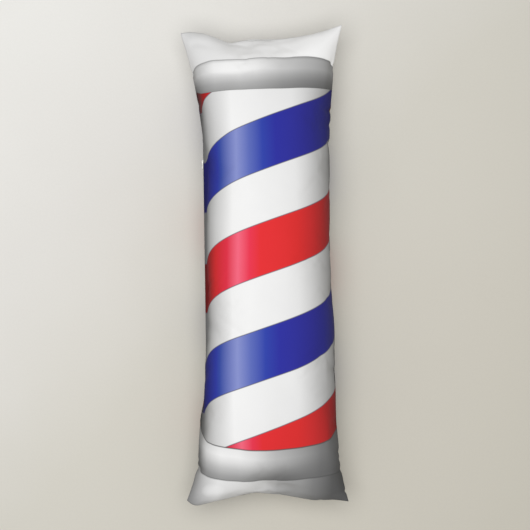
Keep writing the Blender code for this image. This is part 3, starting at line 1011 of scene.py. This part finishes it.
def sewn(name, line, pitch, height, inset, radius, node):
    """A sewing thread that passes up and down through two edges, along a seam's line."""
    run = np.concatenate([[0.0], np.cumsum(np.linalg.norm(np.diff(line, axis=0), axis=1))])
    at = np.arange(0, run[-1], pitch / 4)
    points = np.stack([np.interp(at, run, line[:, k]) for k in range(3)], axis=1)
    way = np.gradient(points[:, :2], axis=0)
    way /= np.linalg.norm(way, axis=1)[:, None]
    points[:, 0] += way[:, 1] * inset
    points[:, 1] -= way[:, 0] * inset
    points[:, 2] += height * np.sin(np.arange(len(at)) * math.pi / 2 + math.pi / 4) * math.sqrt(2)
    piece = tube(name, points, radius)
    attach(piece, "pillow")
    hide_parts(node)
    return piece


def make_threads(cover_front, insert_front):
    """The cover's seam thread, which stops at the zip, and the insert's two."""
    loop = round_seam(cover_front)
    off_zip = np.abs(loop[:, 1]) > CHAIN_HALF + 0.008
    off_zip |= loop[:, 0] > 0
    threads = [sewn("cover_seam", loop[off_zip], 0.0030, 0.0006, 0.0007, 0.0002, "cover_seam_thread")]
    loop = round_seam(insert_front)
    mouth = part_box("insert_closing_thread")
    low, high = mouth[0].x - 0.002, mouth[1].x + 0.002
    at_mouth = (loop[:, 1] < -0.5) & (loop[:, 0] > low) & (loop[:, 0] < high)
    first, last = np.flatnonzero(at_mouth)[[0, -1]]
    closing = loop[first - 1 : last + 2]
    around = np.concatenate([loop[last + 1 : -1], loop[:first]])
    threads.append(sewn("insert_seam", around, 0.0030, 0.0005, 0.0010, 0.0002, "insert_seam_thread"))
    threads.append(sewn("insert_closing", closing, 0.0060, 0.0011, -0.0008, 0.0003, "insert_closing_thread"))
    return threads


def make_coil(side, way):
    """One side of the zip's chain: a nylon thread wound in a flat coil, its heads past the gap's middle."""
    node = "zip_coil_" + side
    low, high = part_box(node)
    slider_low, slider_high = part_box("zip_slider")
    travel = slider_low.y + slider_high.y - low.y - high.y
    pitch = travel / round(travel / 0.00125)  # whole turns in the travel, so both ends meet the slider alike
    wire, sides = 0.00027, 12
    outer = max(abs(low.z - SEAM_Z), abs(high.z - SEAM_Z)) - wire
    head = -0.0002
    deep = (high.x - low.x) / 2 - wire
    length = high.y - low.y - 2 * wire - pitch / 2
    steps = int(length / pitch * sides)
    points = []
    for k in range(steps):
        turn = 2 * math.pi * k / sides
        up = (outer + head) / 2 + (outer - head) / 2 * math.cos(turn)
        out = (low.x + high.x) / 2 + deep * math.sin(turn) * way
        along = low.y + wire + pitch * k / sides + (pitch / 2 if way < 0 else 0)
        points.append((out, along, SEAM_Z + way * up))
    piece = tube("coil_" + side, points, wire)
    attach(piece, "pillow")
    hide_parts(node)
    return piece


def make_casting(name, node, body, edge):
    """A die-cast part of the zip, with its edges rounded."""
    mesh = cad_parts[node].data.copy()
    mesh.name = name
    mesh.materials.clear()
    piece = bpy.data.objects.new(name, mesh)
    SCENE.collection.objects.link(piece)
    bm = bmesh.new()
    bm.from_mesh(mesh)
    bmesh.ops.remove_doubles(bm, verts=bm.verts[:], dist=1e-6)
    bmesh.ops.dissolve_limit(bm, angle_limit=math.radians(1), verts=bm.verts[:], edges=bm.edges[:])
    for face in bm.faces:
        face.smooth = True
    bm.to_mesh(mesh)
    bm.free()
    rounded = piece.modifiers.new("rounded", "BEVEL")
    rounded.width = edge
    rounded.segments = 3
    rounded.limit_method = "ANGLE"
    rounded.angle_limit = math.radians(40)
    rounded.use_clamp_overlap = True
    rounded.harden_normals = True
    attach(piece, body)
    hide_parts(node)
    return piece


def make_camera():
    """Straight above the pillow, with a long lens, and turned a little, so that the pillow leans."""
    height = 4.0
    frame_width = 1.508
    camera = bpy.data.cameras.new("camera")
    camera.sensor_width = 36
    camera.lens = 36 * height / frame_width
    place = bpy.data.objects.new("camera", camera)
    place.location = (0, 0, SEAM_Z + height)
    place.rotation_euler = (0, 0, math.radians(-0.84))
    SCENE.collection.objects.link(place)
    SCENE.camera = place


def make_stage():
    """A pale floor, an even bright surround and one large soft lamp overhead."""
    bpy.ops.mesh.primitive_plane_add(size=14)
    floor = bpy.context.object
    floor.name = "floor"
    floor.data.materials.append(studio_floor())
    world = bpy.data.worlds.new("world")
    SCENE.world = world
    world.use_nodes = True
    surround = world.node_tree.nodes["Background"].inputs
    surround["Color"].default_value = (1.0, 0.995, 0.985, 1)
    surround["Strength"].default_value = 0.455
    key = bpy.data.lights.new("key", "AREA")
    key.shape = "DISK"
    key.size = 3.2
    key.energy = 80
    lamp = bpy.data.objects.new("key", key)
    lamp.location = (-0.25, 0.0, 3.4)
    lamp.rotation_euler = (Vector((0, 0, 0.1)) - lamp.location).to_track_quat("-Z", "Y").to_euler()
    SCENE.collection.objects.link(lamp)


make_camera()
make_stage()
SCENE.view_settings.view_transform = "Standard"
cover, inner = make_cover()
ticking, filling, insert_seam = make_insert(inner)
finish = printed_cover()
for piece in cover:
    piece.data.materials.append(finish)
finish = ticking_cloth()
for piece in ticking:
    piece.data.materials.append(finish)
filling.data.materials.append(fibre())

thread = sewing_thread()
for piece in make_threads(inner[0], insert_seam):
    piece.data.materials.append(thread)
nylon = coil_nylon()
for side, way in (("upper", 1), ("lower", -1)):
    make_coil(side, way).data.materials.append(nylon)
metal = nickel()
make_casting("slider", "zip_slider", "slider", 0.00018).data.materials.append(metal)
make_casting("pull_tab", "zip_pull_tab", "pull", 0.00022).data.materials.append(metal)
for finish, nodes in (
    (metal, ("zip_top_stop_upper", "zip_top_stop_lower", "zip_bottom_stop")),
    (tape_cloth(), ("zip_tape_upper", "zip_tape_lower")),
    (thread, ("zip_stitch_upper", "zip_stitch_lower")),
    (label_satin(), ("cover_care_label",)),
):
    for node in nodes:
        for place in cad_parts[node].material_slots:
            place.material = finish
